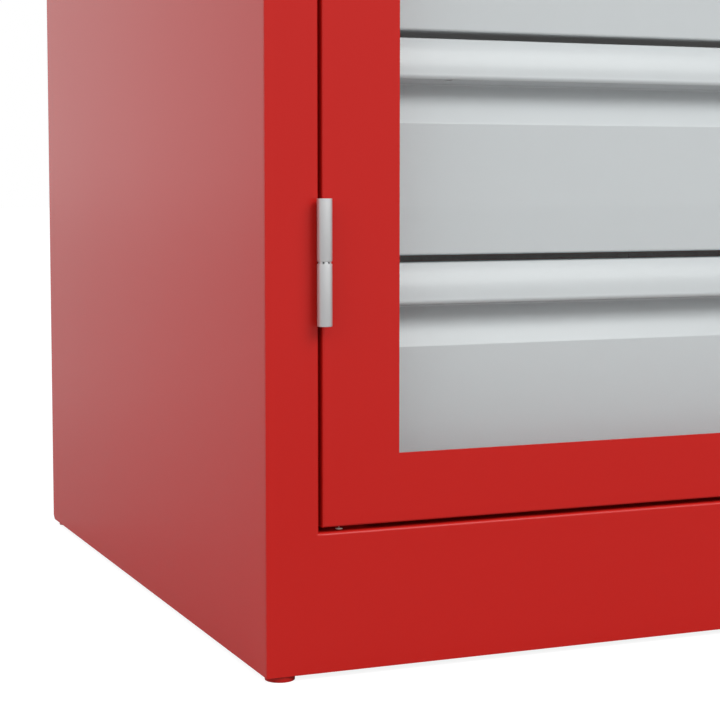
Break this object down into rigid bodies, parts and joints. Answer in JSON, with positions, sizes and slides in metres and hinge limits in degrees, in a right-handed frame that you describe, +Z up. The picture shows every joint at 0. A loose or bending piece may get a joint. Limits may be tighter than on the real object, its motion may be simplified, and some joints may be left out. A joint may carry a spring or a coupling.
{
  "type": "roll front tool cabinet",
  "caption": "Tall sheet-steel tool cabinet: drawers behind a hinged window door below, shelves behind a vertical roll front above.",
  "frame": {"origin": "on the floor under the middle of the cabinet's overall box", "axes": "+Z up, +X to the viewer's right, the front (door and roll front) faces -Y"},
  "size_m": [0.7, 0.628, 1.95],
  "materials": {
    "red_paint": "semi-gloss powder coat",
    "grey_paint": "semi-gloss powder coat",
    "hinge_grey": "satin",
    "zinc_steel": "zinc plated",
    "bright_steel": "polished",
    "slat_aluminium": "coated light grey",
    "bar_aluminium": "anodised",
    "clear_pane": "clear",
    "black_rubber": "matte",
    "black_plastic": "fine grain",
    "pale_nylon": "matte",
    "red_plastic": "moulded",
    "strap_web": "woven"
  },
  "bodies": {
    "cabinet": {"front_frame": "red_paint", "left_side_panel": "red_paint", "right_side_panel": "red_paint", "back_panel": "red_paint", "top_panel": "red_paint", "middle_deck": "red_paint", "floor_panel": "red_paint", "base_channels": "zinc_steel", "foot_glides": "red_plastic", "glide_nuts": "zinc_steel", "left_drawer_carrier": "red_paint", "right_drawer_carrier": "red_paint", "drawer_rails": "zinc_steel", "rail_rollers": "pale_nylon", "hinge_frame_halves": "hinge_grey", "hinge_pins": "bright_steel", "hinge_washers": "pale_nylon", "left_shutter_guide": "slat_aluminium", "right_shutter_guide": "slat_aluminium", "curtain_slats": "slat_aluminium", "curtain_straps": "strap_web", "drum_axle": "zinc_steel", "counterbalance_spring": "zinc_steel", "drum_brackets": "zinc_steel", "shelf_strips": "zinc_steel", "shelf_1": "grey_paint", "shelf_2": "grey_paint", "shelf_clips": "zinc_steel"},
    "door": {"door_frame": "red_paint", "window_pane": "clear_pane", "pane_gasket": "black_rubber", "pane_retainers": "red_paint", "door_buffers": "pale_nylon", "hinge_door_halves": "hinge_grey", "lock_housing": "black_plastic"},
    "door_lock": {"door_handle": "black_plastic", "lock_cam": "zinc_steel"},
    "shutter": {"shutter_bar": "bar_aluminium", "shutter_grip": "bar_aluminium", "shutter_seal": "black_rubber"},
    "shutter_key": {"shutter_lock": "bright_steel"},
    "left_lock_bolt": {"left_bolt": "zinc_steel"},
    "right_lock_bolt": {"right_bolt": "zinc_steel"},
    "curtain_drum": {"drum_tube": "zinc_steel", "drum_bearings": "pale_nylon"},
    "drawer_1": {"drawer_1_front": "grey_paint", "drawer_1_tray": "grey_paint", "drawer_1_runners": "zinc_steel"},
    "drawer_2": {"drawer_2_front": "grey_paint", "drawer_2_tray": "grey_paint", "drawer_2_runners": "zinc_steel"},
    "drawer_3": {"drawer_3_front": "grey_paint", "drawer_3_tray": "grey_paint", "drawer_3_runners": "zinc_steel"},
    "drawer_4": {"drawer_4_front": "grey_paint", "drawer_4_tray": "grey_paint", "drawer_4_runners": "zinc_steel"},
    "drawer_5": {"drawer_5_front": "grey_paint", "drawer_5_tray": "grey_paint", "drawer_5_runners": "zinc_steel"}
  },
  "joints": [
    {"name": "door_swing", "type": "hinge", "parent": "cabinet", "child": "door", "pos_m": [-0.3127, -0.293, 0.50875], "axis": [0, 0, -1], "range_deg": [0, 180]},
    {"name": "door_handle_turn", "type": "hinge", "parent": "door", "child": "door_lock", "pos_m": [0.28487, -0.286, 0.50875], "axis": [0, 1, 0], "range_deg": [0, 90]},
    {"name": "shutter_lift", "type": "slide", "parent": "cabinet", "child": "shutter", "axis": [0, 0, 1], "range_m": [0, 0.79], "deforming": ["curtain_slats", "curtain_straps"]},
    {"name": "drum_turn", "type": "hinge", "parent": "cabinet", "child": "curtain_drum", "pos_m": [0, -0.2165, 1.87], "axis": [-1, 0, 0], "range_deg": [0, 1056]},
    {"name": "shutter_lock_turn", "type": "hinge", "parent": "shutter", "child": "shutter_key", "pos_m": [0, -0.2635, 1.0083], "axis": [0, 1, 0], "range_deg": [0, 90]},
    {"name": "left_bolt_slide", "type": "slide", "parent": "shutter", "child": "left_lock_bolt", "axis": [-1, 0, 0], "range_m": [0, 0.01]},
    {"name": "right_bolt_slide", "type": "slide", "parent": "shutter", "child": "right_lock_bolt", "axis": [1, 0, 0], "range_m": [0, 0.01]},
    {"name": "drawer_1_slide", "type": "slide", "parent": "cabinet", "child": "drawer_1", "axis": [0, -1, 0], "range_m": [0, 0.225]},
    {"name": "drawer_2_slide", "type": "slide", "parent": "cabinet", "child": "drawer_2", "axis": [0, -1, 0], "range_m": [0, 0.225]},
    {"name": "drawer_3_slide", "type": "slide", "parent": "cabinet", "child": "drawer_3", "axis": [0, -1, 0], "range_m": [0, 0.225]},
    {"name": "drawer_4_slide", "type": "slide", "parent": "cabinet", "child": "drawer_4", "axis": [0, -1, 0], "range_m": [0, 0.225]},
    {"name": "drawer_5_slide", "type": "slide", "parent": "cabinet", "child": "drawer_5", "axis": [0, -1, 0], "range_m": [0, 0.225]}
  ],
  "couplings": [
    {"joint": "drum_turn", "follows": "shutter_lift", "rad_per_m": 23.3},
    {"joint": "shutter_lock_turn", "follows": "left_bolt_slide", "rad_per_m": 157},
    {"joint": "right_bolt_slide", "follows": "left_bolt_slide", "ratio": 1},
    {"joint": "drawer_1_slide", "follows": "door_swing", "m_per_rad": 0.0716},
    {"joint": "drawer_2_slide", "follows": "door_swing", "m_per_rad": 0.0716},
    {"joint": "drawer_3_slide", "follows": "door_swing", "m_per_rad": 0.0716},
    {"joint": "drawer_4_slide", "follows": "door_swing", "m_per_rad": 0.0716},
    {"joint": "drawer_5_slide", "follows": "door_swing", "m_per_rad": 0.0716}
  ]
}
